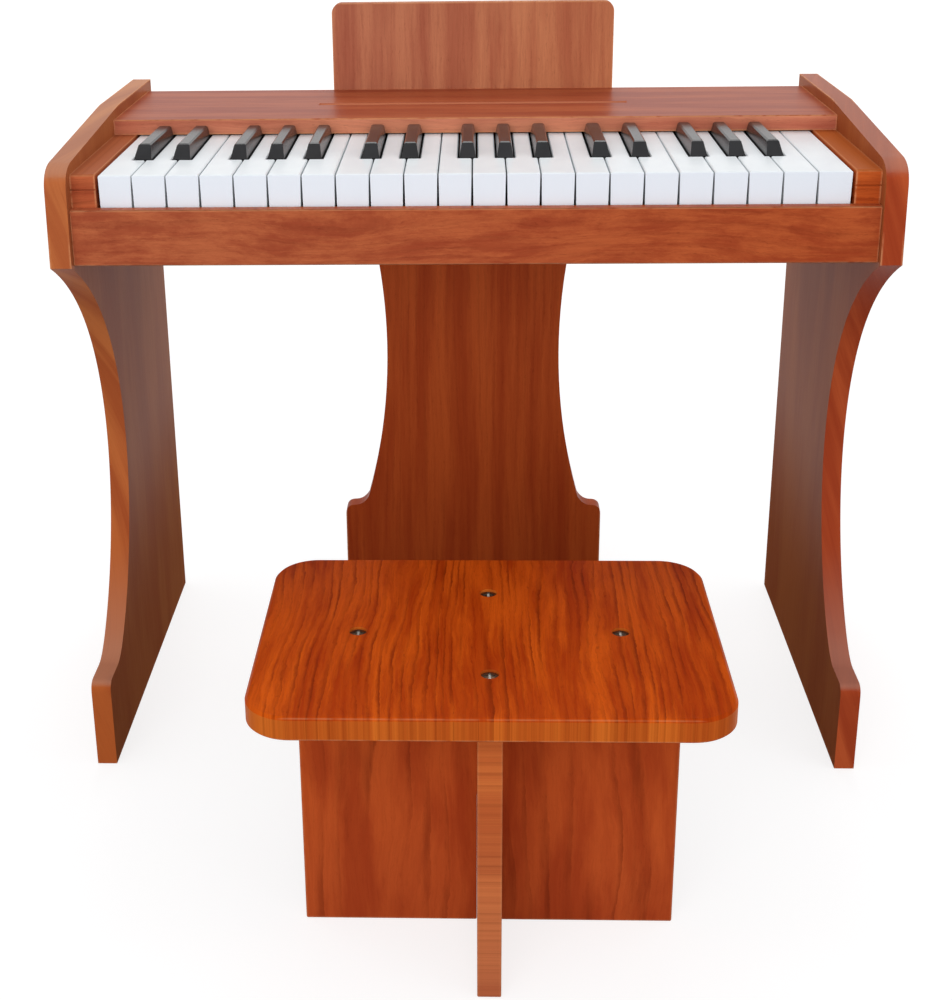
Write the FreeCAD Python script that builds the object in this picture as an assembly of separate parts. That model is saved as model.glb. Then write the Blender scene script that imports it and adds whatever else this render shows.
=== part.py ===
import FreeCAD, Part
import math
import os

V = FreeCAD.Vector
os.makedirs("parts", exist_ok=True)

# Toy piano with a bench. Millimetres, +Z up, +Y to the rear, the player sits at -Y.
# The origin is on the floor, in the middle of the plan of cabinet and bench together.

# Boards
board = 15.0                # side panels, rear leg panel and bench
thin_board = 9.0            # fascia, bottom, back and music stand
top_board_thickness = 11.5
edge_bevel = 0.8            # softened board edges
same_place = 0.01           # points closer than this are one point

# Keyboard
key_pitch = 23.5            # one white key with its gap
octaves = 3
key_top = 460.0             # white key tops above the floor
key_length = 150.0          # white key in front of the top board
key_front_height = 24.0
key_gap = 1.0               # between white key tops
key_draft = 0.4             # each side of a white key leans in this much to its bottom
key_bevel = 0.7             # softened top edges of a key
key_wall = 1.8              # walls of the hollow white key
key_roof = 2.6
key_dip = 8.0               # travel at the front edge
head_length = 54.0          # full-width part of a white key
black_front = 55.4          # black key's front foot behind the white key's front
black_gap = 0.7             # beside a black key at its foot
black_taper = 2.0           # each side leans in this much over the front height
black_front_height = 9.3    # above the white key tops
black_rear_height = 8.0
black_front_lean = 11.7
black_bevel = 1.0           # softened top edges
black_stem_inset = 0.9      # stem below the foot, each side
black_stem_back = 2.0       # stem's front behind the foot
lid_gap = 0.9               # white key tops to the underside of the top board
lid_face_gap = 1.6          # black key's rear end to the face of the top board
end_gap = 1.5               # outer keys to the cheek blocks

# Key levers behind the playing part
pocket_rear = 112.0         # the hollow of a white key ends here
neck_rear = 158.0           # the key steps down here, under the top board
lever_width = 9.6
lever_drop = 42.0           # lever's underside below the white key tops
lever_top_drop = 26.0       # lever's upper side below them
lever_step_drop = 10.0      # step at the end of the neck below them
lever_step_run = 20.0
lever_front_rise = 38.0     # length of the sloping underside in front of the pivot
pivot_y = 172.0             # behind the white key's front
pivot_drop = 34.0           # below the white key tops
pivot_radius = 2.0
running_clearance = 0.08    # key bearing and comb slot, each side of the pivot rod
hammer_y = 248.0
hammer_half = 5.0           # hammer head, half its length along the lever
hammer_bevel = 3.0          # sloping shoulders of the striking edge

# Supports of the keys
comb_base_height = 6.5
comb_base_depth = 20.0
tooth_thickness = 1.8
tooth_half = 6.0
tooth_rise = 6.0            # tooth above the middle of the pivot rod
front_felt_y = 8.0
front_felt_depth = 74.0
front_felt_thickness = 3.0
stop_clearance = 0.2        # key to felt and hammer to chime at full dip
rest_felt_y = 230.0
rest_felt_depth = 20.0

# Chimes
chime_half = 1.6            # square tone rods, half their thickness
chime_drop = 8.0            # middle of the chimes below the white key tops
chime_longest = 104.0       # free length of the lowest chime
chime_seat = 12.0           # length held in the bar
chime_clearance = 0.05      # each side of a rod in the bar
chime_bar_depth = 22.0
chime_bar_height = 15.0
semitones_per_half_length = 24.0

# Cabinet
cheek_width = 17.5
cheek_groove_drop = 9.5     # groove across the cheek block's front, below the white key tops
cheek_groove = 1.2
cheek_nose = 3.0            # rounded upper front edge
fascia_top_drop = 22.0      # fascia's upper edge below the white key tops
fascia_height = 39.5
fascia_gap = 1.5            # key fronts to the fascia's rear face
panel_lip = 3.5             # side panel edges stand this far before the fascia
cabinet_rear = 307.0        # behind the white key's front
lid_rear = 293.0
panel_rise = 20.5           # side panels above the white key tops
panel_slope_y = 172.0       # level top edge in front of here falls gently
panel_shoulder_y = 8.0
panel_shoulder_rise = 8.6   # front shoulder above them
panel_nose = 18.5           # rounded upper front corner
panel_lean = 3.0            # the front edge leans out this much from the nose to the knee
knee_upper_pull_y = 145.0   # upper of the two points that the knee curve is drawn to
knee_upper_pull_drop = 77.0 # below the fascia
knee_lower_pull_y = 125.5
knee_lower_pull_z = 161.0
knee_end_y = 45.0
knee_end_rise = 16.0        # lower end of the knee curve above the toe
toe_front_y = -14.3
toe_height = 71.0
toe_round = 9.0             # rounded upper front corner
toe_ledge_y = 15.0          # the ledge on the toe turns up into the knee curve here

# Groove for sheet music in the top board
groove_y = 218.0
groove_length = 248.0
groove_radius = 5.0
groove_depth = 2.6

# Music stand
stand_width = 236.0
stand_rise = 84.0           # above the white key tops
stand_tuck = 40.0           # below them, behind the back board
stand_corner = 8.5

# Rear leg panel, half widths and heights
rear_top_half = 100.0
rear_waist_half = 77.0
rear_waist_z = 242.0
rear_skirt_half = 97.0
rear_skirt_z = 97.0
rear_cove = 10.0
rear_plinth_half = 118.5
rear_plinth_z = 88.5
rear_plinth_round = 9.0

# Bench
seat_width = 286.0
seat_depth = 212.0
seat_height = 211.0
seat_corner = 28.0
seat_bevel = 1.8            # softened upper edge
wide_leg_width = 243.0
cross_leg_depth = 169.0
lap_clearance = 0.15        # each side of the halved joint
seat_recess_x = 82.0        # sunk holes for the fixings, from the seat's middle
seat_recess_y = 54.0
seat_recess_radius = 5.6
seat_recess_depth = 5.0
bench_shift = 10.5          # the bench stands this far right of the middle
bench_gap = 88.0            # white key fronts to the rear edge of the seat, in plan

# Places that follow from the dimensions above
white_keys_per_octave = 7
white_count = octaves * white_keys_per_octave + 1
keys_half = white_count * key_pitch / 2
cheek_inner = keys_half + end_gap
inner_half = cheek_inner + cheek_width
outer_half = inner_half + board
whole_depth = cabinet_rear + bench_gap + seat_depth
key_front = whole_depth / 2 - cabinet_rear
key_bottom = key_top - key_front_height
lever_bottom = key_top - lever_drop
lever_top = key_top - lever_top_drop
lever_step_top = key_top - lever_step_drop
pivot_z = key_top - pivot_drop
chime_z = key_top - chime_drop
cheek_groove_z = key_top - cheek_groove_drop
fascia_top = key_top - fascia_top_drop
fascia_bottom = fascia_top - fascia_height
panel_top = key_top + panel_rise
panel_shoulder_z = key_top + panel_shoulder_rise
stand_top = key_top + stand_rise
stand_bottom = key_top - stand_tuck
lid_bottom = key_top + lid_gap
lid_top = lid_bottom + top_board_thickness
fascia_rear = -fascia_gap
fascia_front = fascia_rear - thin_board
panel_front = fascia_front - panel_lip
knee_upper_pull_z = fascia_bottom - knee_upper_pull_drop
knee_end_z = toe_height + knee_end_rise
floor_top = fascia_bottom + thin_board
back_front = lid_rear - thin_board
bar_front = back_front - chime_bar_depth
dip_angle = math.asin(key_dip / pivot_y)
hammer_rise = (hammer_y - pivot_y) * math.sin(dip_angle)
hammer_top = chime_z - chime_half - stop_clearance - hammer_rise
front_felt_top = key_bottom - (pivot_y - front_felt_y) * math.sin(dip_angle) - stop_clearance
black_stem_front = black_front + black_stem_back
black_stem_bottom = front_felt_top + (pivot_y - black_stem_front) * math.sin(dip_angle) + stop_clearance
bench_x = bench_shift
bench_y = -bench_gap - seat_depth / 2
leg_height = seat_height - board


def polygon(points):
    """Closed wire through the points."""
    return Part.makePolygon(list(points) + [points[0]])


def box(x_low, x_high, y_low, y_high, z_low, z_high):
    """Box between two corners; Y is counted from the white keys' front."""
    size = (x_high - x_low, y_high - y_low, z_high - z_low)
    return Part.makeBox(*size, V(x_low, key_front + y_low, z_low))


def side_profile(x_low, x_high, edges):
    """Solid between two X planes from a closed (y, z) outline of edges drawn at x = 0."""
    face = Part.Face(Part.Wire(Part.__sortEdges__(edges)))
    face.translate(V(x_low, key_front, 0))
    return face.extrude(V(x_high - x_low, 0, 0))


def yz(y, z):
    """Point of a side outline."""
    return V(0, y, z)


def line_chain(points):
    """Straight edges joining the points in turn."""
    return [Part.makeLine(a, b) for a, b in zip(points, points[1:])]


def bezier(*poles):
    """Curved edge from the first pole to the last, drawn towards those between."""
    curve = Part.BezierCurve()
    curve.setPoles(list(poles))
    return curve.toShape()


def along_x(y, z, radius, x_low, x_high):
    """Cylinder along X; Y is counted from the white keys' front."""
    return Part.makeCylinder(radius, x_high - x_low, V(x_low, key_front + y, z), V(1, 0, 0))


def rounded(shape, radius, chosen):
    """Shape with the chosen edges rounded."""
    return shape.makeFillet(radius, [edge for edge in shape.Edges if chosen(edge)])


def bevelled(shape, width, chosen):
    """Shape with the chosen edges bevelled."""
    return shape.makeChamfer(width, [edge for edge in shape.Edges if chosen(edge)])


def flat_at(edge, axis, value):
    """True where the whole edge lies on one plane across an axis."""
    box_of = edge.BoundBox
    low = (box_of.XMin, box_of.YMin, box_of.ZMin)[axis]
    high = (box_of.XMax, box_of.YMax, box_of.ZMax)[axis]
    return abs(low - value) < same_place and abs(high - value) < same_place


def save(name, shape):
    """One STEP file per piece."""
    shape.exportStep("parts/" + name + ".step")


def side_panel(side):
    """Upright panel: nose at the top, a deep knee curve in front, a toe on the floor."""
    foot = yz(toe_front_y, 0)
    shoulder = yz(panel_shoulder_y, panel_shoulder_z)
    level = [shoulder, yz(panel_slope_y, panel_top), yz(cabinet_rear, panel_top), yz(cabinet_rear, 0), foot]
    toe_turn = yz(toe_front_y, toe_height - toe_round)
    toe_end = yz(toe_front_y + toe_round, toe_height)
    ledge_end = yz(toe_ledge_y, toe_height)
    knee_end = yz(knee_end_y, knee_end_z)
    knee_top = yz(panel_front - panel_lean, fascia_bottom)
    nose_end = yz(panel_front, panel_shoulder_z - panel_nose)
    run = (knee_lower_pull_y - knee_end_y) / (knee_lower_pull_z - knee_end_z)
    ledge_pull = yz(knee_end_y - knee_end_rise * run, toe_height)
    fall = (panel_top - panel_shoulder_z) / (panel_slope_y - panel_shoulder_y)
    nose_pull = yz(panel_front, panel_shoulder_z - fall * (panel_shoulder_y - panel_front))
    edges = line_chain(level + [toe_turn])
    edges += line_chain([toe_end, ledge_end]) + line_chain([knee_top, nose_end])
    edges.append(bezier(toe_turn, yz(toe_front_y, toe_height), toe_end))
    edges.append(bezier(ledge_end, ledge_pull, knee_end))
    edges.append(bezier(knee_end, yz(knee_lower_pull_y, knee_lower_pull_z),
                        yz(knee_upper_pull_y, knee_upper_pull_z), knee_top))
    edges.append(bezier(nose_end, nose_pull, shoulder))
    low, high = sorted((side * inner_half, side * outer_half))
    return side_profile(low, high, edges)


def top_board():
    """Lid over the action with a round-bottomed groove that keeps sheet music from sliding."""
    lid = box(-inner_half, inner_half, key_length, lid_rear, lid_bottom, lid_top)
    front = key_front + key_length
    lid = bevelled(lid, edge_bevel, lambda edge: flat_at(edge, 1, front) and flat_at(edge, 2, lid_top))
    z = lid_top - groove_depth + groove_radius
    return lid.cut(along_x(groove_y, z, groove_radius, -groove_length / 2, groove_length / 2))


def front_fascia():
    """Board below the key fronts."""
    fascia = box(-inner_half, inner_half, fascia_front, fascia_rear, fascia_bottom, fascia_top)
    front = key_front + fascia_front
    return bevelled(fascia, edge_bevel, lambda edge: flat_at(edge, 1, front)
                    and (flat_at(edge, 2, fascia_top) or flat_at(edge, 2, fascia_bottom)))


def bottom_board():
    """Floor of the key box."""
    return box(-inner_half, inner_half, fascia_rear, cabinet_rear, fascia_bottom, floor_top)


def back_board():
    """Rear wall of the key box, under the lid."""
    return box(-inner_half, inner_half, back_front, lid_rear, floor_top, lid_bottom)


def music_stand():
    """Upright board behind the lid, with rounded upper corners."""
    half = stand_width / 2
    stand = box(-half, half, lid_rear, lid_rear + thin_board, stand_bottom, stand_top)
    return rounded(stand, stand_corner, lambda edge: flat_at(edge, 2, stand_top)
                   and edge.BoundBox.YLength > thin_board / 2)


def rear_leg_panel():
    """Waisted panel with a skirt, a cove and a plinth, standing on the floor under the rear of the box."""
    def half_outline(side):
        waist = V(side * rear_waist_half, 0, rear_waist_z)
        top = V(side * rear_top_half, 0, fascia_bottom)
        skirt = V(side * rear_skirt_half, 0, rear_skirt_z)
        body = Part.BSplineCurve()
        body.interpolate([top, waist, skirt])
        cove_end = V(side * (rear_plinth_half - rear_plinth_round), 0, rear_plinth_z)
        cove = bezier(skirt, V(side * (rear_skirt_half + rear_cove / 2), 0, rear_plinth_z), cove_end)
        corner = V(side * rear_plinth_half, 0, rear_plinth_z)
        turn_end = V(side * rear_plinth_half, 0, rear_plinth_z - rear_plinth_round)
        turn = bezier(cove_end, corner, turn_end)
        foot = V(side * rear_plinth_half, 0, 0)
        return [body.toShape(), cove, turn, Part.makeLine(turn_end, foot)], top, foot
    left, left_top, left_foot = half_outline(-1)
    right, right_top, right_foot = half_outline(1)
    edges = left + right + [Part.makeLine(left_top, right_top), Part.makeLine(left_foot, right_foot)]
    face = Part.Face(Part.Wire(Part.__sortEdges__(edges)))
    face.translate(V(0, key_front + cabinet_rear - board, 0))
    return face.extrude(V(0, board, 0))


def cheek_block(side):
    """Filler beside the outer key, grooved across its front; carries the lid."""
    low, high = sorted((side * cheek_inner, side * inner_half))
    block = box(low, high, fascia_rear, back_front, floor_top, lid_bottom)
    front = key_front + fascia_rear
    block = rounded(block, cheek_nose, lambda edge: flat_at(edge, 1, front) and flat_at(edge, 2, lid_bottom))
    groove = box(low, high, fascia_rear, fascia_rear + cheek_groove,
                 cheek_groove_z - cheek_groove / 2, cheek_groove_z + cheek_groove / 2)
    return block.cut(groove)


def key_layout():
    """Every key from the left: name, black or not, its slot between neighbours and its head."""
    groups = ((("c", "c_sharp", "d", "d_sharp", "e"), 3),
              (("f", "f_sharp", "g", "g_sharp", "a", "a_sharp", "b"), 4))
    keys = []
    white = 0
    for octave in range(octaves):
        for names, whites in groups:
            left = -keys_half + white * key_pitch
            slot = whites * key_pitch / len(names)
            for place, name in enumerate(names):
                is_black = "sharp" in name
                head_left = left + (place // 2) * key_pitch
                head = (head_left, head_left + key_pitch)
                keys.append((name, is_black, (left + place * slot, left + (place + 1) * slot), head))
            white += whites
    last = (keys_half - key_pitch, keys_half)
    keys.append(("c", False, last, last))
    return keys


def lever(middle):
    """Lever behind the playing part: gooseneck, bearing open below, and the head that strikes the chime."""
    crown = hammer_half - hammer_bevel
    around = [
        yz(pocket_rear, lever_step_top),
        yz(pocket_rear, key_bottom),
        yz(pocket_rear + lever_front_rise, lever_bottom),
        yz(hammer_y + hammer_half, lever_bottom),
        yz(hammer_y + hammer_half, hammer_top - hammer_bevel),
        yz(hammer_y + crown, hammer_top),
        yz(hammer_y - crown, hammer_top),
        yz(hammer_y - hammer_half, hammer_top - hammer_bevel),
        yz(hammer_y - hammer_half, lever_top),
        yz(neck_rear + lever_step_run, lever_top),
        yz(neck_rear, lever_step_top),
    ]
    half = lever_width / 2
    return side_profile(middle - half, middle + half, line_chain(around + around[:1]))


def bearing(middle):
    """Slot in a lever that rides on the pivot rod, open below."""
    half = pivot_radius + running_clearance
    return box(middle - lever_width, middle + lever_width, pivot_y - half, pivot_y + half,
               lever_bottom, pivot_z + half)


def drafted(low, high, front, rear, front_bevel):
    """Block from key bottom to key top: sides lean in to the bottom, top edges are softened."""
    levels = [(key_bottom, key_draft, 0), (key_top - key_bevel, 0, 0), (key_top, key_bevel, front_bevel)]
    rings = []
    for z, lean, back in levels:
        left, right, start = low + lean, high - lean, front + back
        corners = [(left, start), (right, start), (right, rear), (left, rear)]
        rings.append(polygon([V(x, key_front + y, z) for x, y in corners]))
    return Part.makeLoft(rings, True, True)


def white_key(neck, head):
    """White key of two pieces: a hollow moulded head, and a stick with channelled neck and lever."""
    half_gap = key_gap / 2
    head_rear = head_length - key_gap
    wall = half_gap + key_draft + key_wall
    roof = key_top - key_roof
    front = drafted(head[0] + half_gap, head[1] - half_gap, 0, head_rear, key_bevel)
    front = front.cut(box(head[0] + wall, head[1] - wall, key_wall, head_rear - key_wall, key_bottom, roof))
    stick = drafted(neck[0] + half_gap, neck[1] - half_gap, head_rear, neck_rear, 0)
    channel_front = head_rear + key_wall
    stick = stick.cut(box(neck[0] + wall, neck[1] - wall, channel_front, pocket_rear, key_bottom, roof))
    middle = (neck[0] + neck[1]) / 2
    stick = stick.fuse(lever(middle)).cut(bearing(middle)).removeSplitter()
    return Part.makeCompound([front, stick])


def black_key(slot):
    """Tapered black key with a leaning front, on a stem and lever."""
    middle = (slot[0] + slot[1]) / 2
    half = (slot[1] - slot[0]) / 2 - black_gap
    rear = key_length - lid_face_gap
    side = line_chain([
        yz(black_front, key_top), yz(black_front + black_front_lean, key_top + black_front_height),
        yz(rear, key_top + black_rear_height), yz(rear, key_top), yz(black_front, key_top),
    ])
    cap = side_profile(middle - half, middle + half, side)
    crest = key_top + black_front_height
    section = polygon([
        V(middle - half, key_front, key_top), V(middle + half, key_front, key_top),
        V(middle + half - black_taper, key_front, crest), V(middle - half + black_taper, key_front, crest),
    ])
    cap = cap.common(Part.Face(section).extrude(V(0, key_length, 0)))
    cap = bevelled(cap, black_bevel, lambda edge: edge.BoundBox.ZMin > key_top + black_bevel)
    stem_half = half - black_stem_inset
    stem = box(middle - stem_half, middle + stem_half, black_stem_front, rear, black_stem_bottom, key_top)
    neck = box(middle - stem_half, middle + stem_half, pocket_rear, neck_rear, key_bottom, key_top)
    body = cap.fuse(stem).fuse(neck).fuse(lever(middle))
    return body.cut(bearing(middle)).removeSplitter()


def balance_rail(boundaries):
    """Comb on the bottom board: one tooth between each two levers, with the pivot rod in open slots."""
    low = pivot_y - comb_base_depth / 2
    base_top = floor_top + comb_base_height
    rail = box(-cheek_inner, cheek_inner, low, low + comb_base_depth, floor_top, base_top)
    teeth = []
    for x in boundaries:
        left = x - tooth_thickness / 2
        teeth.append(box(left, left + tooth_thickness, pivot_y - tooth_half, pivot_y + tooth_half,
                         base_top, pivot_z + tooth_rise))
    half = pivot_radius + running_clearance
    slot = box(-cheek_inner, cheek_inner, pivot_y - half, pivot_y + half,
               pivot_z - pivot_radius, pivot_z + tooth_rise)
    return rail.multiFuse(teeth).cut(slot).removeSplitter()


def felt(y, depth, z_low, z_high):
    """Felt strip under all the keys."""
    return box(-keys_half, keys_half, y, y + depth, z_low, z_high)


def tone_rods(middles, clearance):
    """Square rods over the hammers; a rod's length falls by half in two octaves."""
    half = chime_half + clearance
    rods = []
    for place, x in enumerate(middles):
        free = chime_longest * 2 ** (-place / semitones_per_half_length)
        rods.append(box(x - half, x + half, bar_front - free, bar_front + chime_seat,
                        chime_z - half, chime_z + half))
    return rods


def chime_bar(holes):
    """Cast bar on the back board that holds the chimes."""
    low = chime_z - chime_bar_height / 2
    bar = box(-keys_half, keys_half, bar_front, back_front, low, low + chime_bar_height)
    return bar.cut(Part.makeCompound(holes))


def bench_seat():
    """Seat board with rounded corners, softened edges and four sunk holes."""
    seat = box(bench_x - seat_width / 2, bench_x + seat_width / 2, bench_y - seat_depth / 2,
               bench_y + seat_depth / 2, leg_height, seat_height)
    seat = rounded(seat, seat_corner, lambda edge: edge.BoundBox.ZLength > board / 2)
    seat = bevelled(seat, seat_bevel, lambda edge: flat_at(edge, 2, seat_height))
    seat = bevelled(seat, edge_bevel, lambda edge: flat_at(edge, 2, leg_height))
    places = [(-seat_recess_x, 0), (seat_recess_x, 0), (0, -seat_recess_y), (0, seat_recess_y)]
    for x, y in places:
        start = V(bench_x + x, key_front + bench_y + y, seat_height - seat_recess_depth)
        seat = seat.cut(Part.makeCylinder(seat_recess_radius, seat_recess_depth, start))
    return seat


def bench_wide_leg():
    """Slab across the bench, slotted from below for the other slab."""
    slab = box(bench_x - wide_leg_width / 2, bench_x + wide_leg_width / 2, bench_y - board / 2,
               bench_y + board / 2, 0, leg_height)
    half = board / 2 + lap_clearance
    slot = box(bench_x - half, bench_x + half, bench_y - board, bench_y + board, 0, leg_height / 2)
    return slab.cut(slot)


def bench_cross_leg():
    """Slab from front to back, slotted from above for the wide slab."""
    slab = box(bench_x - board / 2, bench_x + board / 2, bench_y - cross_leg_depth / 2,
               bench_y + cross_leg_depth / 2, 0, leg_height)
    half = board / 2 + lap_clearance
    slot = box(bench_x - board, bench_x + board, bench_y - half, bench_y + half, leg_height / 2, leg_height)
    return slab.cut(slot)


keys = key_layout()
middles = [(slot[0] + slot[1]) / 2 for name, is_black, slot, head in keys]
boundaries = [slot[0] for name, is_black, slot, head in keys] + [keys_half]
for number, (name, is_black, slot, head) in enumerate(keys, 1):
    shape = black_key(slot) if is_black else white_key(slot, head)
    save("key_%02d_%s" % (number, name), shape)

rod_end = keys_half + tooth_thickness / 2
felt_low = front_felt_top - front_felt_thickness

save("side_panel_left", side_panel(-1))
save("side_panel_right", side_panel(1))
save("top_board", top_board())
save("front_fascia", front_fascia())
save("bottom_board", bottom_board())
save("back_board", back_board())
save("music_stand", music_stand())
save("rear_leg_panel", rear_leg_panel())
save("cheek_block_left", cheek_block(-1))
save("cheek_block_right", cheek_block(1))
save("key_pivot_rod", along_x(pivot_y, pivot_z, pivot_radius, -rod_end, rod_end))
save("balance_rail", balance_rail(boundaries))
save("front_rail", felt(front_felt_y, front_felt_depth, floor_top, felt_low))
save("front_stop_felt", felt(front_felt_y, front_felt_depth, felt_low, front_felt_top))
save("back_rest_felt", felt(rest_felt_y, rest_felt_depth, floor_top, lever_bottom))
save("chime_rods", Part.makeCompound(tone_rods(middles, 0)))
save("chime_bar", chime_bar(tone_rods(middles, chime_clearance)))
save("bench_seat", bench_seat())
save("bench_wide_leg", bench_wide_leg())
save("bench_cross_leg", bench_cross_leg())
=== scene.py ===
import math

import bpy
import numpy as np
from mathutils import Matrix, Vector


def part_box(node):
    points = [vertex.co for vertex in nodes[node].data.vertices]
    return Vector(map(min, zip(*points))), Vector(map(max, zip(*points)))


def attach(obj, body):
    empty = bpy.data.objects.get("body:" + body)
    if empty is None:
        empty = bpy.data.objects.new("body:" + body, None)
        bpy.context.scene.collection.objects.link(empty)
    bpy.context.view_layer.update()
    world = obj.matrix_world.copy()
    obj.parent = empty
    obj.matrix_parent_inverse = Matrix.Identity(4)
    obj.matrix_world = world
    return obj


# Toy piano with bench: the finishes of its boards, keys and action, the screw heads, and the studio.
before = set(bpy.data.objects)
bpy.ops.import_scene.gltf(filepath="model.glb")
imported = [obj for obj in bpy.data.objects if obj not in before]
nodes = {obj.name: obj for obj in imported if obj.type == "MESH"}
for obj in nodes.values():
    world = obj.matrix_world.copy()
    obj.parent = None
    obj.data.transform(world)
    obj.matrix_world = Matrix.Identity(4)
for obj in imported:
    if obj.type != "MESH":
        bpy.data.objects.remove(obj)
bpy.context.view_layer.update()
mm = 0.001
X, Y, Z = range(3)


def tone(red, green, blue):
    """Colour for a shader from the three values, 0 to 255, that it has on a screen. The screen's curve is
    straight at its foot and a power above it."""
    foot, slope, lift, power = 0.04045, 12.92, 0.055, 2.4
    shares = [value / 255 for value in (red, green, blue)]
    return [s / slope if s <= foot else ((s + lift) / (1 + lift)) ** power for s in shares] + [1]


class Value:
    """A number in a shader. An expression on values adds the Math nodes that work it out."""

    def __init__(self, network, socket):
        self.network = network
        self.socket = socket

    def math(self, operation, *terms):
        """A Math node on the terms, or on the value alone."""
        return self.network.node("ShaderNodeMath", {"operation": operation}, terms or [self])

    def __add__(self, other):
        return self.math("ADD", self, other)

    def __sub__(self, other):
        return self.math("SUBTRACT", self, other)

    def __rsub__(self, other):
        return self.math("SUBTRACT", other, self)

    def __mul__(self, other):
        return self.math("MULTIPLY", self, other)

    def __truediv__(self, other):
        return self.math("DIVIDE", self, other)

    def __rtruediv__(self, other):
        return self.math("DIVIDE", other, self)

    def __abs__(self):
        return self.math("ABSOLUTE")

    __radd__ = __add__
    __rmul__ = __mul__

    def fraction(self):
        return self.math("FRACT")

    def least(self, other):
        return self.math("MINIMUM", self, other)

    def most(self, other):
        return self.math("MAXIMUM", self, other)

    def lifted(self, least):
        """The same value over the range from least to 1 instead of 0 to 1."""
        return self * (1 - least) + least

    def rise(self, low, high):
        """0 below low, 1 above high, and a smooth climb between them."""
        settings = {"interpolation_type": "SMOOTHSTEP"}
        return self.network.node("ShaderNodeMapRange", settings, {0: self, 1: low, 2: high, 3: 0.0, 4: 1.0})


class Network:
    """Nodes of a material or of the world."""

    def __init__(self, tree):
        self.tree = tree

    def feed(self, socket, value):
        """Links a value to a socket, or sets a constant on it."""
        if isinstance(value, Value):
            self.tree.links.new(value.socket, socket)
        else:
            socket.default_value = value

    def node(self, kind, settings, inputs, output=0):
        """Any node: its settings come first, then the values or links of its sockets."""
        made = self.tree.nodes.new(kind)
        for name, setting in settings.items():
            setattr(made, name, setting)
        pairs = inputs.items() if isinstance(inputs, dict) else enumerate(inputs)
        for key, value in pairs:
            self.feed(made.inputs[key], value)
        return Value(self, made.outputs[output])

    def parts(self, output):
        """Three values of one of the surface's own vectors: Object for its place, Normal for its facing."""
        vector = self.node("ShaderNodeTexCoord", {}, {}, output)
        return [self.node("ShaderNodeSeparateXYZ", {}, [vector], axis) for axis in range(3)]

    def noise(self, x, y, z, detail=2.0, roughness=0.5):
        """Smooth noise from 0 to 1; its cells are one unit across."""
        spot = self.node("ShaderNodeCombineXYZ", {}, [x, y, z])
        inputs = {"Vector": spot, "Scale": 1.0, "Detail": detail, "Roughness": roughness}
        return self.node("ShaderNodeTexNoise", {}, inputs)

    def mix(self, share, first, second):
        """Colour between two colours."""
        return self.node("ShaderNodeMix", {"data_type": "RGBA"}, {0: share, 6: first, 7: second}, 2)

    def mix_tones(self, share, first, second):
        """Tones between two sets of tones."""
        return [self.mix(share, one, other) for one, other in zip(first, second)]

    def bump(self, height, depth):
        """Relief of that depth in mm where height goes from 0 to 1."""
        return self.node("ShaderNodeBump", {}, {"Strength": 1.0, "Distance": depth * mm, "Height": height})

    def shown(self):
        """1 for rays that show the surroundings: from the camera, in a gloss or through glass."""
        rays = [self.node("ShaderNodeLightPath", {}, {}, "Is %s Ray" % kind)
                for kind in ("Camera", "Glossy", "Transmission")]
        return rays[0].most(rays[1]).most(rays[2])


class Finish(Network):
    """A material that is being put together round one shader."""

    def __init__(self, name, **constants):
        self.material = bpy.data.materials.new(name)
        self.material.use_nodes = True
        super().__init__(self.material.node_tree)
        self.shader = self.tree.nodes["Principled BSDF"]
        self.place = self.parts("Object")
        self.paint(**constants)

    def cells(self, sizes, detail=2.0, roughness=0.5):
        """Noise whose cells have these sizes in mm along X, Y and Z."""
        x, y, z = [axis / mm / size for axis, size in zip(self.place, sizes)]
        return self.noise(x, y, z, detail, roughness)

    def paint(self, **inputs):
        """Feeds constants, or what varies over the surface, to the shader's sockets."""
        for socket, value in inputs.items():
            self.feed(self.shader.inputs[socket.replace("_", " ")], value)
        return self.material


# Noises of the printed grain: width and length of a cell in mm, offset of the seed, detail and roughness.
sway_cells = (60, 230, 0, 2.0, 0.5)
jag_cells = (3, 11, 3, 3.0, 0.65)
crowd_cells = (42, 480, 7, 1.0, 0.5)
gap_cells = (5, 55, 9, 2.0, 0.5)
patch_cells = (20, 130, 11, 3.0, 0.5)
fibre_cells = (0.7, 30, 13, 3.0, 0.6)
thread_cells = (2.6, 75, 15, 2.0, 0.5)
figure_offset = 17
pore_cells = (0.6, 6, 19, 1.0, 0.5)
rub_and_highlight_cell = 9

# Where each mark begins and where it is full; for the scuffs, heights in metres.
late_span = (0.5, 0.93)
stop_span = (0.94, 0.995)
gap_span = (0.34, 0.6)
patch_span = (0.36, 0.64)
fibre_span = (0.42, 0.72)
thread_span = (0.4, 0.65)
pore_span = (0.6, 0.72)
rub_and_highlight_span = (0.2, 0.55)
rim_span = (0.5, 0.6)
upward_span = (0.5, 0.8)
painted_sheen_span = (0.4, 0.9)
scuff_span = (0.02, 0.22)

# Reach of the jags in mm and of the crowding in rings, and how strongly each mark colours the print.
jag_reach = 3.4
crowding = 4
streak_share = 0.75
thread_share = 0.25
fibre_share = 0.27
pore_share = 0.45
painted_sheen_share = 0.24
groove_highlight_share = 0.35

# What is left of the rings outside their patches, in their gaps and on narrow edges, and of the pores
# outside the late wood.
patch_least = 0.1
gap_least = 0.4
rim_least = 0.5
pore_least = 0.3

# Roughness of the varnish and what each mark adds to it; depth of the relief in mm and how far marks sink.
varnish_rough = 0.3
fibre_rough = 0.1
line_rough = 0.06
rub_and_highlight_rough = 0.08
relief_depth = 0.02
pore_sunk = 0.7
line_sunk = 0.3

# Depth of the groove in mm, and how far the print on narrow edges moves on along a curve.
groove_depth = 3.0
rim_swing = 0.7

# Pale tone of the edge line: partly rubbing, partly a painted highlight.
rubbed_board = tone(232, 168, 120)
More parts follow.
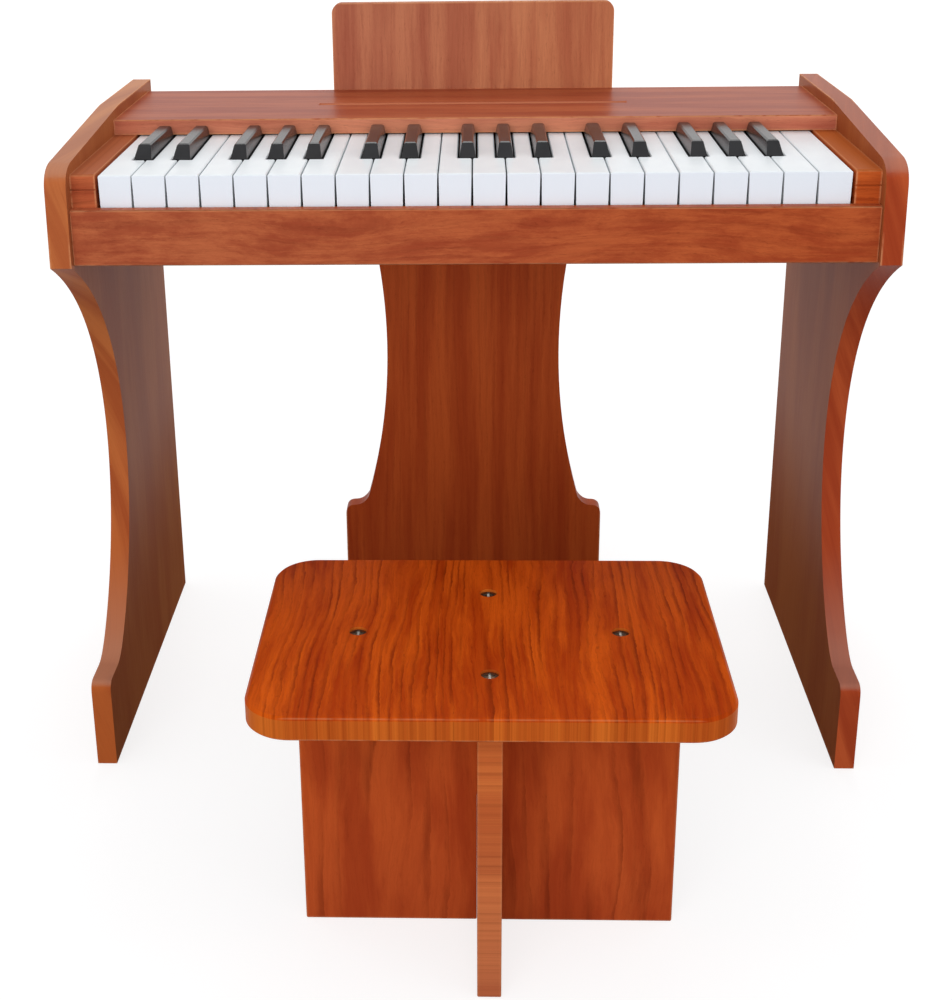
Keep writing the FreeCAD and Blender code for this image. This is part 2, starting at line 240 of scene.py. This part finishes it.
# Pale tone of a painted highlight in the lid's groove.
rubbed_groove = tone(226, 158, 120)
# Pale tone of a painted sheen on narrow edges that look up.
painted_sheen = tone(186, 176, 160)
# Bright tone of the screw slots: wear and a painted glint.
rubbed_metal = tone(226, 224, 220)


def shades(red, green, blue, spread=0.65):
    """Light, reddish and dark tones of a print about one colour; spread is how far the first two lie
    apart."""
    middle = tone(red, green, blue)
    lighter = (1.42, 1.75, 1.7, 1)
    redder = (0.82, 0.64, 0.68, 1)
    darker = (0.4, 0.3, 0.3, 1)
    light = [share * factor ** spread for share, factor in zip(middle, lighter)]
    reddish = [share * factor ** spread for share, factor in zip(middle, redder)]
    dark = [share * factor for share, factor in zip(middle, darker)]
    return light, reddish, dark


def edge_rub_and_highlight(finish, node):
    """1 on a board's edges, 0 inside its faces: the middle one of the distances to its three pairs of
    sides. It lays the pale edge line, partly rubbing and partly a painted highlight."""
    full, spent = 0.2 * mm, 1.6 * mm
    place = finish.place
    low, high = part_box(node)
    a, b, c = [(place[axis] - low[axis]).least(high[axis] - place[axis]) for axis in range(3)]
    middle = a.least(b).most(a.most(b).least(c))
    return 1 - middle.rise(full, spent)


def wood(node, along, across, tones, spacing, lines, wander, seed, figure=(20, 240), blur=0.12,
         ragged=(4.0, 0.55), fine=1.0, rubbed=0.5, gloss=1.12, drift=None, upward=None, outer=None,
         band=None, band_drift=None, slant=None, scuffed=0.0, groove=None):
    """Printed wood grain, in mm from the board's middle: u along the axis of the print, v across it.

    A ring is the fraction of w / spacing plus a broad noise, where w is v plus a slow sway times wander
    and small jags. It darkens towards its late side, ends sharply, comes and goes in patches, and is as
    strong as lines. Under the rings lies a figure of light and reddish streaks. The figure is their width
    and length, blur is how softly they end, and ragged is the detail and roughness of their noise. Over
    the rings lie threads, fibres and pores, as strong as fine. Sharp edges are pale by rubbed,
    partly rubbing and partly a painted highlight along the edge. Gloss is the refraction of the varnish.

    Tones are light, reddish and dark. Drift is an axis and the tones that they go over to along it; on the
    seat, the bench legs, the rear panel and the side panels this is painted light and shade. Upward_shade
    gives the darker tones of faces that look up, a painted shade, and outer those of the half that is away
    from the middle of the object. Band gives the narrow edges their own tones, which go over to band_drift,
    used for painted light towards the top. Slant gives these edges their own print, along them at 0 and
    aslant at 1, with a painted sheen where they look up. Scuffed is the roughness gained near the floor,
    and groove the place and half width of a groove in the top whose inside is painted pale, a painted
    highlight."""
    finish = Finish(node + " grain", IOR=gloss)
    place = finish.place
    facing = finish.parts("Normal")
    low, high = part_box(node)
    middle = (low + high) / 2
    flat = min(range(3), key=lambda axis: high[axis] - low[axis])
    u = (place[along] - middle[along]) / mm
    v = (place[across] - middle[across]) / mm

    # Tones go over to far tones along an axis; on the seat, the bench legs, the rear panel and the side
    # panels this paints light and shade.
    if drift:
        axis, far_tones = drift
        end = place[axis].rise(low[axis], high[axis])
        tones = finish.mix_tones(end, tones, far_tones)
        if band_drift:
            band = finish.mix_tones(end, band, band_drift)
    if outer:
        core = abs(middle[flat])
        tones = finish.mix_tones(abs(place[flat]).rise(core - mm, core + mm), tones, outer)
    # Painted shade: faces that look up take darker tones.
    if upward:
        tones = finish.mix_tones(facing[Z].rise(*upward_span), tones, upward)
    if band:
        rim = 1 - abs(facing[flat]).rise(*rim_span)
        tones = finish.mix_tones(rim, tones, band)
        lines = lines * (1 - rim * (1 - rim_least))
    if slant is not None:
        u = u - rim * place[across] * (rim_swing / mm)
        v = v + rim * (place[flat] * ((1 + 2 * slant) / mm) + u * slant - v)
    light, reddish, dark = tones

    def cells(start, width, length, offset, detail, roughness):
        """Noise whose cells have that width and length on the print."""
        return finish.noise(start / width, u / length, seed + offset, detail, roughness)

    sway = cells(v, *sway_cells) - 0.5
    jag = cells(v, *jag_cells) - 0.5
    w = v + sway * wander + jag * jag_reach
    crowd = cells(w, *crowd_cells) - 0.5
    ring = (w / spacing + crowd * crowding).fraction()
    late = ring.rise(*late_span) * (1 - ring.rise(*stop_span))
    patch = cells(v, *patch_cells).rise(*patch_span)
    gap = cells(v, *gap_cells).rise(*gap_span)
    line = late * patch.lifted(patch_least) * gap.lifted(gap_least) * lines
    fibre = cells(w, *fibre_cells)
    thread = cells(w, *thread_cells)
    streak = cells(w, *figure, figure_offset, *ragged).rise(0.5 - blur, 0.5 + blur)
    pore = cells(w, *pore_cells).rise(*pore_span) * late.lifted(pore_least)
    # Pale edge line: partly rubbing, partly a painted highlight.
    rub = finish.noise(u / rub_and_highlight_cell, v / rub_and_highlight_cell, place[Z] / mm / rub_and_highlight_cell).rise(*rub_and_highlight_span)
    rub = edge_rub_and_highlight(finish, node) * rub

    streaks = streak * streak_share + thread.rise(*thread_span) * (thread_share * fine)
    colour = finish.mix(streaks, light, reddish)
    colour = finish.mix(line, colour, dark)
    colour = finish.mix(fibre.rise(*fibre_span) * (fibre_share * fine), colour, dark)
    colour = finish.mix(pore * (pore_share * fine), colour, dark)
    # Painted sheen: narrow edges that look up go pale.
    if slant is not None:
        colour = finish.mix(rim * facing[Z].rise(*painted_sheen_span) * painted_sheen_share, colour, painted_sheen)
    colour = finish.mix(rub * rubbed, colour, rubbed_board)
    # Painted highlight: the inside of the groove is painted pale.
    if groove:
        groove_y, half_width = groove
        sunk = (high[Z] - place[Z]) / mm
        wall = abs(place[Y] / mm - groove_y)
        inside = sunk.rise(0.1, 0.4) * (1 - sunk.rise(groove_depth, groove_depth + 0.3))
        inside = inside * (1 - wall.rise(half_width, half_width + 0.2))
        colour = finish.mix(inside * groove_highlight_share, colour, rubbed_groove)

    roughness = varnish_rough + fibre * fibre_rough + line * line_rough + rub * rub_and_highlight_rough
    if scuffed:
        roughness = roughness + (1 - place[Z].rise(*scuff_span)) * scuffed
    relief = finish.bump(1 - pore * pore_sunk - line * line_sunk, relief_depth)
    return finish.paint(Base_Color=colour, Roughness=roughness, Normal=relief)


def moulding(name, pale, deep, front, roughness, grain, gloss=1.5):
    """Moulded plastic: a faint cloud in the colour and the gloss, another tone on faces to the front, which
    is painted light, and a fine skin; grain is the skin's depth in mm."""
    finish = Finish(name, IOR=gloss)
    cloud = finish.cells((14, 22, 14), 3.0)
    sheen = finish.cells((40, 60, 40), 0.0)
    skin = finish.cells((4, 5, 4))
    ahead = (0 - finish.parts("Normal")[Y]).rise(0.6, 0.9)
    colour = finish.mix(cloud.rise(0.3, 0.7), pale, deep)
    colour = finish.mix(ahead, colour, front)
    relief = finish.bump(skin, grain)
    return finish.paint(Base_Color=colour, Roughness=roughness + sheen * 0.03, Normal=relief)


def metal(name, pale, deep, roughness, patch):
    """Bare metal: drawing marks along Y and dull patches of that size in mm. Where a piece has the
    attribute
    worn_and_glint, it is painted bright: wear together with a painted glint."""
    finish = Finish(name, Metallic=1.0)
    marks = finish.cells((0.25, 20, 0.25), 3.0, 0.7)
    dull = finish.cells((patch, patch, patch), 3.0).rise(0.35, 0.75)
    worn_and_glint = finish.node("ShaderNodeAttribute", {"attribute_name": "worn_and_glint"}, {}, "Fac")
    colour = finish.mix(worn_and_glint * 0.8, finish.mix(dull, pale, deep), rubbed_metal)
    return finish.paint(Base_Color=colour, Roughness=roughness + marks * 0.15 + dull * 0.15,
                        Normal=finish.bump(marks, 0.01))


def pressed_felt(name, pale, deep):
    """Felt: short matted hairs, uneven dye and a soft dull face."""
    finish = Finish(name, Roughness=1.0, Sheen_Weight=0.4, Specular_IOR_Level=0.1)
    hair = finish.cells((0.6, 0.35, 0.6), 4.0, 0.75)
    dye = finish.cells((25, 12, 6))
    colour = finish.mix(hair * 0.6 + dye * 0.4, deep, pale)
    return finish.paint(Base_Color=colour, Normal=finish.bump(hair, 0.35))


def cast_paint(name, pale, deep):
    """Cast iron under thin paint: a pebbled skin with dark hollows."""
    finish = Finish(name, Metallic=0.3)
    pebble = finish.cells((1.6, 1.6, 1.6), 4.0, 0.6)
    return finish.paint(Base_Color=finish.mix(pebble.rise(0.3, 0.7), deep, pale),
                        Roughness=0.5 + pebble * 0.25, Normal=finish.bump(pebble, 0.25))


def wear(node, material):
    """Gives a node's object one material."""
    slots = nodes[node].data.materials
    slots.clear()
    slots.append(material)


def soften(node):
    """Rounds a board's sharp edges by a small bevel over its welded triangles."""
    piece = nodes[node]
    weld = piece.modifiers.new("joined corners", "WELD")
    weld.merge_threshold = 0.01 * mm
    bevel = piece.modifiers.new("soft edges", "BEVEL")
    bevel.width = 0.9 * mm
    bevel.segments = 3
    bevel.limit_method = "ANGLE"
    bevel.angle_limit = math.radians(25)
    piece.modifiers.new("even shading", "WEIGHTED_NORMAL")


def board(node, along, across, tones, **marks):
    """Prints a board's grain, as wood says, and rounds its edges."""
    wear(node, wood(node, along, across, tones, **marks))
    soften(node)


# Painted shade: the seat is darker towards its back. Painted light: both bench legs are lighter towards
# their tops.
seat = shades(182, 69, 12, 0.95)
seat_back_shaded = shades(171, 61, 10, 0.95)
seat_rim = shades(194, 93, 31)
slab = shades(172, 69, 31)
slab_top_lit = shades(183, 75, 30)
cross = shades(178, 94, 59)
cross_top_lit = shades(203, 106, 52)
board("bench_seat", Y, X, seat, spacing=6.2, lines=0.8, wander=30, seed=1, figure=(20, 200), blur=0.1,
      ragged=(5.0, 0.6), gloss=1.07, drift=(Y, seat_back_shaded), band=seat_rim)
board("bench_wide_leg", Z, X, slab, spacing=20, lines=0.55, wander=40, seed=21, figure=(26, 130), fine=0.5,
      rubbed=0.25, drift=(Z, slab_top_lit))
board("bench_cross_leg", Y, Z, cross, spacing=8, lines=0.32, wander=8, seed=41, figure=(60, 400), fine=0.7,
      rubbed=0.15, drift=(Z, cross_top_lit))

fascia = shades(172, 87, 55, 0.75)
fascia_right = shades(169, 75, 39, 0.75)
lid = shades(158, 75, 46)
# Painted reflection: the lid's narrow edges, its front above all, are lighter.
lid_rim_lit = shades(202, 120, 92)
stand = shades(178, 106, 79)
stand_right = shades(188, 114, 79)
# Painted light: the rear panel is lighter towards its top.
rear = shades(153, 60, 22)
rear_top_lit = shades(194, 85, 41)
board("front_fascia", X, Z, fascia, spacing=9, lines=0.2, wander=40, seed=61, figure=(15, 54),
      ragged=(7.0, 0.72), fine=0.8, drift=(X, fascia_right))
board("top_board", X, Y, lid, spacing=9, lines=0.15, wander=30, seed=81, fine=0.7, gloss=1.14, band=lid_rim_lit,
      slant=0, groove=(214.5, 4.5))
board("bottom_board", X, Y, rear, spacing=9, lines=0.4, wander=30, seed=101)
board("back_board", X, Z, fascia, spacing=9, lines=0.4, wander=30, seed=121)
board("music_stand", Z, X, stand, spacing=7, lines=0.1, wander=10, seed=141, figure=(24, 300), fine=0.7,
      drift=(X, stand_right))
board("rear_leg_panel", Z, X, rear, spacing=7, lines=0.18, wander=10, seed=161, figure=(20, 400), fine=0.6,
      drift=(Z, rear_top_lit))

# Painted light: the side panels' inner faces and the left front edge are lighter towards the top. Painted
# shade: the right front edge is darker and redder than the left.
left_leg = shades(150, 84, 47, 0.45)
left_leg_top_lit = shades(170, 96, 57, 0.45)
left_rim = shades(164, 77, 37, 0.75)
left_rim_top_lit = shades(183, 101, 57, 0.75)
right_leg = shades(147, 79, 42, 0.45)
right_leg_top_lit = shades(165, 89, 49, 0.45)
right_rim_shaded = shades(166, 69, 37, 0.85)
leg_outer = shades(164, 74, 38)
side_print = dict(spacing=9, lines=0.1, wander=30, figure=(60, 300), fine=0.3, gloss=1.065, outer=leg_outer,
                  slant=1, scuffed=0.4)
board("side_panel_left", Z, Y, left_leg, seed=190.7, drift=(Z, left_leg_top_lit), band=left_rim,
      band_drift=left_rim_top_lit, **side_print)
board("side_panel_right", Z, Y, right_leg, seed=201, drift=(Z, right_leg_top_lit), band=right_rim_shaded, **side_print)

# Painted shade: the cheek blocks' tops take darker tones than their fronts.
left_cheek = shades(180, 90, 56)
left_cheek_top_shaded = shades(166, 88, 55)
right_cheek = shades(187, 83, 36)
right_cheek_top_shaded = shades(160, 77, 34)
pine = shades(190, 150, 100)
cheek_print = dict(spacing=7, lines=0.4, wander=20, gloss=1.06)
board("cheek_block_left", X, Z, left_cheek, seed=221, upward=left_cheek_top_shaded, **cheek_print)
board("cheek_block_right", X, Z, right_cheek, seed=241, upward=right_cheek_top_shaded, **cheek_print)
board("front_rail", X, Y, pine, spacing=6, lines=0.5, wander=20, seed=261)

# Each plastic's third tone is for faces to the front: painted light, a cooler cast on the white keys.
white = moulding("white key plastic", tone(241, 246, 248), tone(237, 242, 245), tone(238, 246, 255),
                 roughness=0.285, grain=0.002)
black = moulding("black key plastic", tone(41, 41, 43), tone(34, 34, 36), tone(41, 41, 44),
                 roughness=0.2, grain=0.003, gloss=1.3)
comb = moulding("comb plastic", tone(58, 58, 60), tone(44, 44, 46), tone(52, 52, 54),
                roughness=0.5, grain=0.05)
steel = metal("drawn steel", tone(196, 196, 200), tone(150, 148, 146), roughness=0.28, patch=9)
# The screw's tones are darker and browner than bare steel: painted shade and a painted reflection of the
# wood round the heads.
screw = metal("shade_darkened screw", tone(104, 82, 64), tone(62, 47, 37), roughness=0.28, patch=3)
felt = pressed_felt("red felt", tone(150, 30, 32), tone(96, 14, 18))
casting = cast_paint("painted casting", tone(70, 72, 76), tone(40, 41, 44))
for node in nodes:
    if node.startswith("key_") and node != "key_pivot_rod":
        wear(node, black if "sharp" in node else white)
wear("key_pivot_rod", steel)
wear("chime_rods", steel)
wear("chime_bar", casting)
wear("balance_rail", comb)
wear("front_stop_felt", felt)
wear("back_rest_felt", felt)


def screw_heads(name, centres, right, up, body, radius, crown, rim, slot, reach, depth):
    """Domed heads with a cross slot, in mm. Each head is a square grid (s, t) pressed to a disc by
    x = s sqrt(1 - t t / 2) and y = t sqrt(1 - s s / 2). Its height is crown times (1 - x x - y y), less
    the depth inside the cross, where one of |s|, |t| times the radius is under slot, the slot's half
    width, and the other under its reach.
    Lines of the grid lie on both sides of the cross's walls. The outermost line is there twice, the
    second time lower by rim, as a skirt; the four cells at the grid's corners have no area there and are
    left out."""
    near = slot / radius
    far = reach / radius
    walls = [near * 0.95, near * 1.05, (near + far) / 2, far * 0.98, far * 1.04]
    half = [0] + walls + [0.85, 0.96, 1, 1]
    line = np.array([-value for value in half[:0:-1]] + half)
    s, t = np.meshgrid(line, line, indexing="ij")
    x = s * np.sqrt(1 - t * t / 2)
    y = t * np.sqrt(1 - s * s / 2)
    crossed = (np.minimum(abs(s), abs(t)) < near) & (np.maximum(abs(s), abs(t)) < far)
    z = crown * (1 - x * x - y * y) - depth * crossed
    z[[0, -1], :] = -rim
    z[:, [0, -1]] = -rim
    right, up = np.array(right, float), np.array(up, float)
    out = np.cross(right, up)
    head = (x * radius)[..., None] * right + (y * radius)[..., None] * up + z[..., None] * out
    points = (np.array(centres)[:, None, :] + head.reshape(1, -1, 3)) * mm

    number = np.arange(s.size).reshape(s.shape)
    quads = np.stack([number[:-1, :-1], number[1:, :-1], number[1:, 1:], number[:-1, 1:]], axis=-1)
    whole = np.ones(quads.shape[:2], bool)
    whole[[0, 0, -1, -1], [0, -1, 0, -1]] = False
    faces = quads[whole] + (np.arange(len(centres)) * s.size)[:, None, None]

    mesh = bpy.data.meshes.new(name)
    mesh.from_pydata(points.reshape(-1, 3), [], faces.reshape(-1, 4).tolist())
    # The cross slot is marked for wear and a painted glint.
    worn_and_glint = mesh.attributes.new("worn_and_glint", "FLOAT", "POINT")
    worn_and_glint.data.foreach_set("value", np.tile(crossed.ravel(), len(centres)).astype(np.float32))
    mesh.materials.append(screw)
    piece = bpy.data.objects.new(name, mesh)
    bpy.context.scene.collection.objects.link(piece)
    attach(piece, body)


seat_low, seat_high = [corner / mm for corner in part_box("bench_seat")]
seat_middle = (seat_low + seat_high) / 2
recess_x, recess_y, recess_depth = 82.0, 54.0, 5.0
head_drop = 1.7
steps = [(-recess_x, 0), (recess_x, 0), (0, -recess_y), (0, recess_y)]
seat_places = [(seat_middle.x + x, seat_middle.y + y, seat_high.z - head_drop) for x, y in steps]
screw_heads("bench_screws", seat_places, (1, 0, 0), (0, 1, 0), "bench", radius=5.3, crown=0.7,
            rim=recess_depth - head_drop, slot=0.8, reach=3.2, depth=1.8)

stand_low, stand_high = [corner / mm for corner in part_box("music_stand")]
lid_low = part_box("top_board")[0] / mm
screw_x, below_lid, above_foot = 80, 10, 12
heights = (lid_low.z - below_lid, stand_low.z + above_foot)
stand_places = [(x, stand_high.y, z) for x in (-screw_x, screw_x) for z in heights]
screw_heads("stand_screws", stand_places, (-1, 0, 0), (0, 0, 1), "cabinet", radius=3.6, crown=1.5,
            rim=0.3, slot=0.6, reach=2.0, depth=0.9)


def studio():
    """White surroundings, a pale floor and soft lamps: one low in front, one to the side, one high
    behind."""
    unlit, full_white = (0, 0, 0, 1), (1, 1, 1, 1)
    room_light = (0.66, 0.66, 0.67, 1)
    floor_grey = (0.34, 0.34, 0.34, 1)
    glow_near, glow_far = (0.76, 0.76, 0.76, 1), (0.9, 0.9, 0.9, 1)
    near_square, far_square = 0.8, 12.0
    scene = bpy.context.scene
    world = bpy.data.worlds.new("white room")
    scene.world = world
    world.use_nodes = True
    room = Network(world.node_tree)
    colour = room.mix(room.shown(), room_light, full_white)
    room.feed(world.node_tree.nodes["Background"].inputs["Color"], colour)

    side, drop = 8.0, -0.3 * mm
    mesh = bpy.data.meshes.new("floor")
    corners = [(-side, -side, drop), (side, -side, drop), (side, side, drop), (-side, side, drop)]
    mesh.from_pydata(corners, [], [(0, 1, 2, 3)])
    floor = bpy.data.objects.new("floor", mesh)
    scene.collection.objects.link(floor)
    pale = Finish("pale floor", Base_Color=floor_grey, Roughness=0.9, Specular_IOR_Level=0.0,
                  Emission_Strength=1.0)
    x, y = pale.place[:2]
    away = (x * x + y * y).rise(near_square, far_square)
    glow = pale.mix(away, glow_near, glow_far)
    mesh.materials.append(pale.paint(Emission_Color=pale.mix(pale.shown(), unlit, glow)))

    target = Vector((0, 0, 0.3))
    lamps = [("front lamp", (-0.5, -2.6, 1.15), 2.4, 33),
             ("side lamp", (2.3, -1.4, 1.4), 1.8, 7),
             ("rear lamp", (0.0, 1.5, 2.3), 1.2, 15)]
    for name, spot, size, watts in lamps:
        lamp = bpy.data.lights.new(name, "AREA")
        lamp.size = size
        lamp.energy = watts
        holder = bpy.data.objects.new(name, lamp)
        holder.location = spot
        holder.rotation_euler = (target - Vector(spot)).to_track_quat("-Z", "Y").to_euler()
        scene.collection.objects.link(holder)
    scene.view_settings.view_transform = "Standard"


def camera():
    """Camera at the photograph's viewing angle, solved from its edges: turned by yaw, tipped down by
    pitch, then rolled. The focal length is in pixels of the photograph's longer side."""
    key_front = -3.5
    spot = Vector((1.504, -1099.714 + key_front, 685.917)) * mm
    pitch, yaw, roll = 0.36022, 0.0390, -0.01419
    focal, frame_side = 1621.875, 1000.0
    upright = Vector((0, 0, 1))
    across = Vector((math.cos(yaw), math.sin(yaw), 0))
    level = Vector((-math.sin(yaw), math.cos(yaw), 0))
    ahead = math.cos(pitch) * level - math.sin(pitch) * upright
    up = math.sin(pitch) * level + math.cos(pitch) * upright
    right = math.cos(roll) * across + math.sin(roll) * up
    top = math.cos(roll) * up - math.sin(roll) * across
    lens = bpy.data.cameras.new("camera")
    lens.sensor_width = 36.0
    lens.lens = lens.sensor_width * focal / frame_side
    lens.shift_x, lens.shift_y = 0.0607, -0.0683
    holder = bpy.data.objects.new("camera", lens)
    turn = Matrix((right, top, -ahead)).transposed().to_4x4()
    holder.matrix_world = Matrix.Translation(spot) @ turn
    bpy.context.scene.collection.objects.link(holder)
    bpy.context.scene.camera = holder


studio()
camera()
